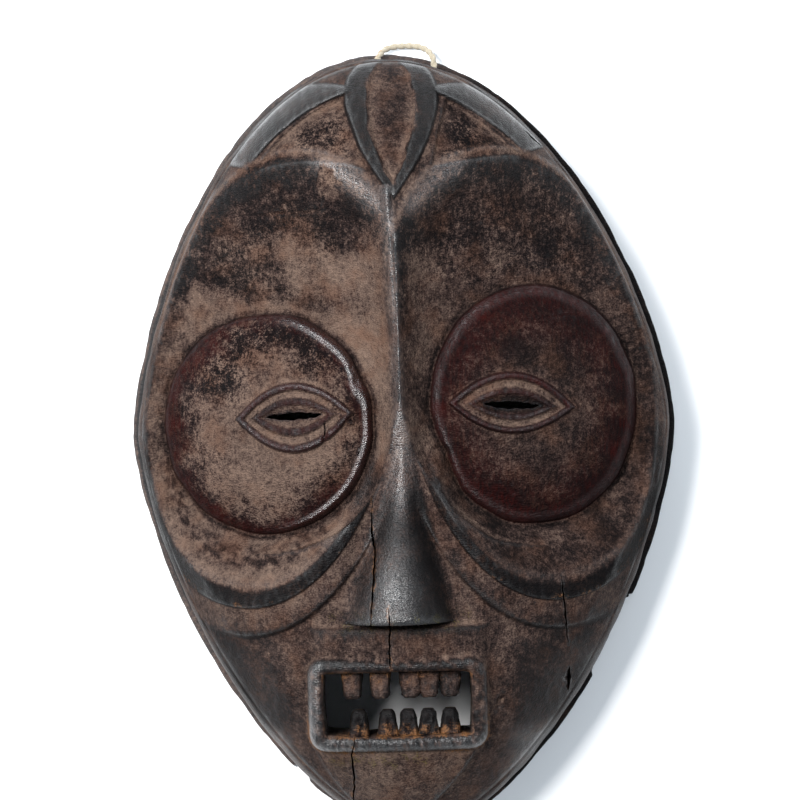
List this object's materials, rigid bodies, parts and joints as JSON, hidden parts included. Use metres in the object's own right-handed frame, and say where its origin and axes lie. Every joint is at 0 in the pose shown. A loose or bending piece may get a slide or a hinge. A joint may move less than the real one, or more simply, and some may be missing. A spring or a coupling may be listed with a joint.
{
  "type": "carved wooden face mask",
  "caption": "Hollow carved wooden face mask with domed eye discs, slit eyes, ridged nose and open toothed mouth, lying on its back rim with a twine hanging loop.",
  "frame": {"origin": "centre of the back rim's outline, on the plane that the rim lies on", "axes": "+Z out of the face, +Y to the crown, +X to the viewer's right as the face is seen upright"},
  "size_m": [0.2706, 0.3983, 0.128],
  "materials": {
    "carved_wood": "old hand-polished dark patina, worn grey-black on the high points, dusty brown in the hollows",
    "twine": "cream two-ply cotton twine, matt"
  },
  "bodies": {
    "root": {"mask": "carved_wood", "hanging_cord": "twine", "knot_left": "twine", "knot_right": "twine"}
  },
  "joints": []
}
